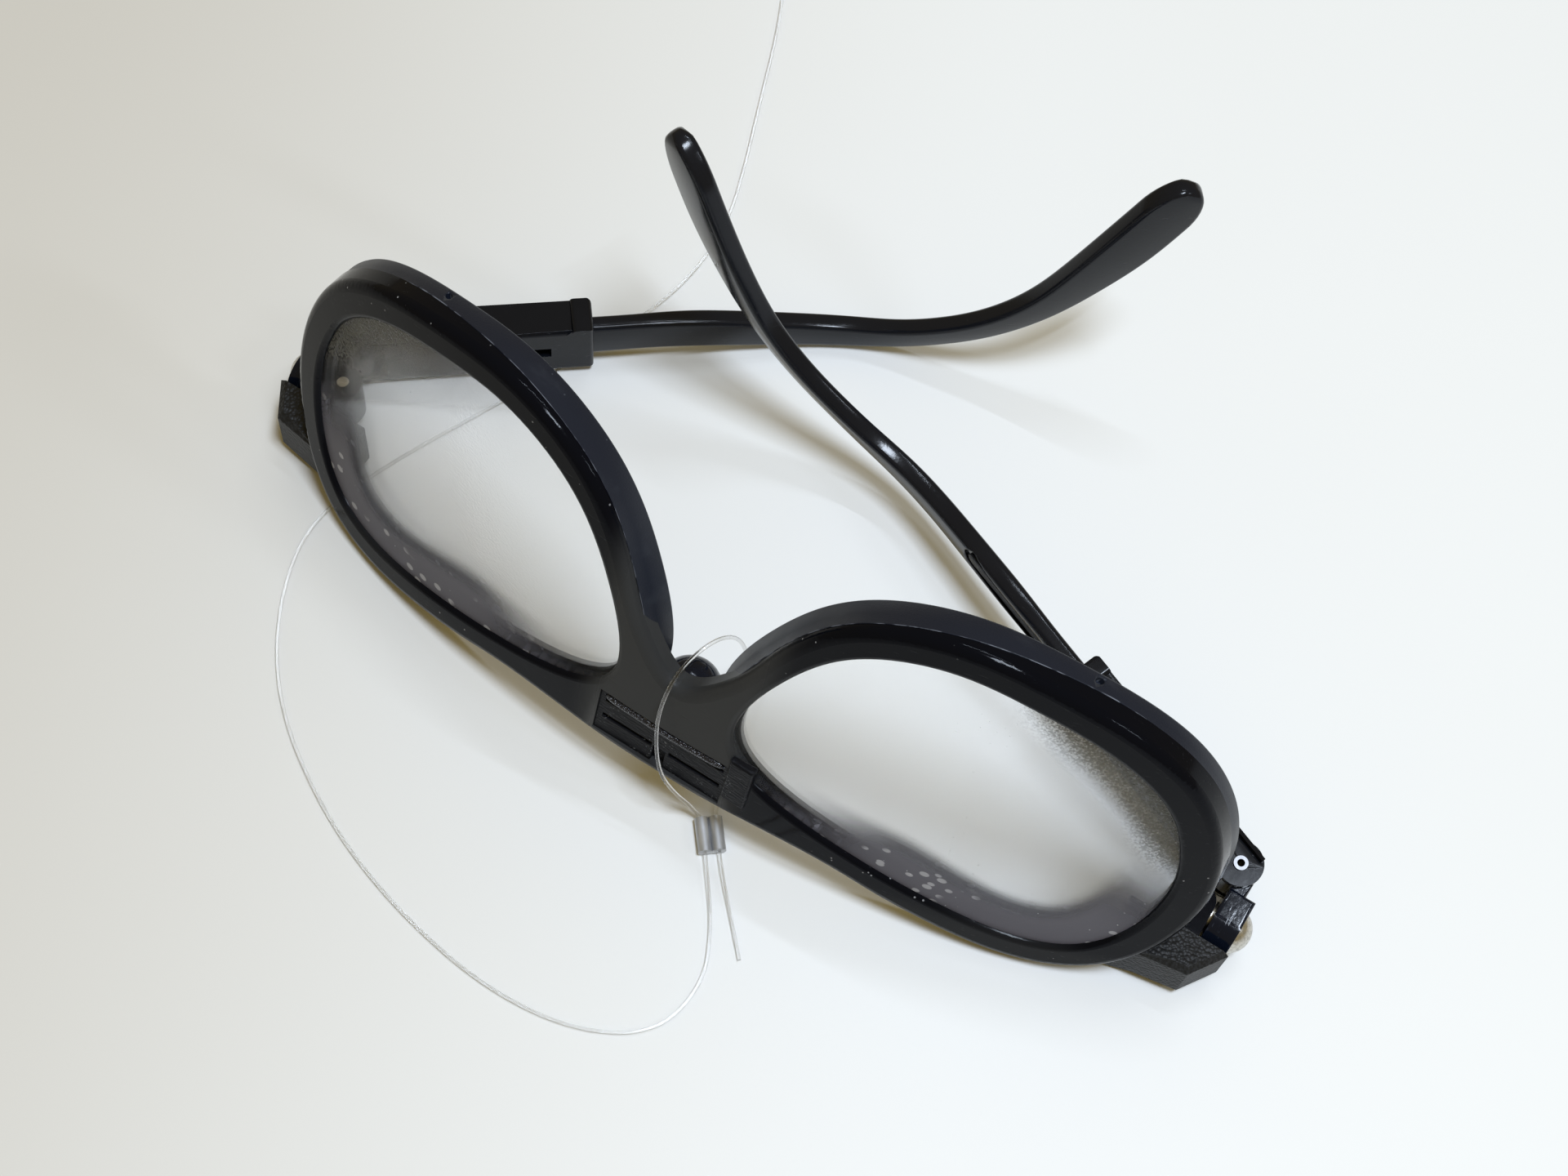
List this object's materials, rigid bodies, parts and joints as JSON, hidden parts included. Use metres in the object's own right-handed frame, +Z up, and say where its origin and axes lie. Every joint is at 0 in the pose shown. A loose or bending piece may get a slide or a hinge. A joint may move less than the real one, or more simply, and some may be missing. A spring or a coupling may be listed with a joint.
{
  "type": "protective eyeglasses",
  "caption": "Clear wraparound eyeglasses with a full black rim, tilting and folding temples that slide for length, cheek guards and a thin nylon tether.",
  "frame": {"origin": "on the table, under the middle of the bridge's front face", "axes": "+X to the wearer's right, +Y from the front towards the ears, +Z up from the table; the eyeglasses lie upside down on their brow edge"},
  "size_m": [0.1516, 0.1648, 0.0559],
  "materials": {
    "frame_plastic": "polished black moulding",
    "lens": "clear, hard coated",
    "grained_plastic": "fine pebble grain",
    "hinge_plastic": "glossy blue-black, handled",
    "temple_plastic": "satin",
    "bridge_metal": "satin, finely scratched",
    "rivet_steel": "satin",
    "crimp_aluminium": "dull, drawn",
    "nylon": "clear monofilament"
  },
  "bodies": {
    "front": {"front_frame": "frame_plastic", "right_lens": "lens", "left_lens": "lens", "right_cheek_guard": "frame_plastic", "left_cheek_guard": "frame_plastic", "nose_saddle": "hinge_plastic", "bridge_insert": "bridge_metal", "bridge_end_block": "hinge_plastic", "right_end_piece": "grained_plastic", "left_end_piece": "grained_plastic", "right_pivot_boss": "frame_plastic", "left_pivot_boss": "frame_plastic", "right_lock_pin": "rivet_steel", "left_lock_pin": "rivet_steel", "right_tilt_rivet": "rivet_steel", "left_tilt_rivet": "rivet_steel", "right_friction_washer": "rivet_steel", "left_friction_washer": "rivet_steel", "tether_loop": "nylon", "tether_line": "nylon", "crimp_sleeve": "crimp_aluminium"},
    "right_link": {"right_hinge_link": "hinge_plastic", "right_hinge_eyelet": "rivet_steel"},
    "right_sleeve": {"right_temple_sleeve": "hinge_plastic"},
    "right_arm": {"right_temple_arm": "temple_plastic"},
    "left_link": {"left_hinge_link": "hinge_plastic", "left_hinge_eyelet": "rivet_steel"},
    "left_sleeve": {"left_temple_sleeve": "hinge_plastic"},
    "left_arm": {"left_temple_arm": "temple_plastic"}
  },
  "joints": [
    {"name": "right_tilt", "type": "hinge", "parent": "front", "child": "right_link", "pos_m": [0.072, 0.0254, 0.0052], "axis": [1, 0, 0], "range_deg": [-10.4, 4.6]},
    {"name": "right_temple_fold", "type": "hinge", "parent": "right_link", "child": "right_sleeve", "pos_m": [0.0697, 0.03221, 0.00686], "axis": [0, 0.1805, -0.9836], "range_deg": [-17.7, 69.2]},
    {"name": "right_length", "type": "slide", "parent": "right_sleeve", "child": "right_arm", "axis": [-0.9342, 0.3509, 0.0644], "range_m": [-0.004, 0.004]},
    {"name": "left_tilt", "type": "hinge", "parent": "front", "child": "left_link", "pos_m": [-0.072, 0.0254, 0.0052], "axis": [1, 0, 0], "range_deg": [0, 10]},
    {"name": "left_temple_fold", "type": "hinge", "parent": "left_link", "child": "left_sleeve", "pos_m": [-0.0697, 0.0324, 0.0056], "axis": [0, 0, 1], "range_deg": [-13, 51.1]},
    {"name": "left_length", "type": "slide", "parent": "left_sleeve", "child": "left_arm", "axis": [0.7782, 0.628, 0], "range_m": [-0.004, 0.004]}
  ],
  "couplings": [
    {"joint": "right_temple_fold", "follows": "left_temple_fold", "ratio": 1.3523}
  ]
}
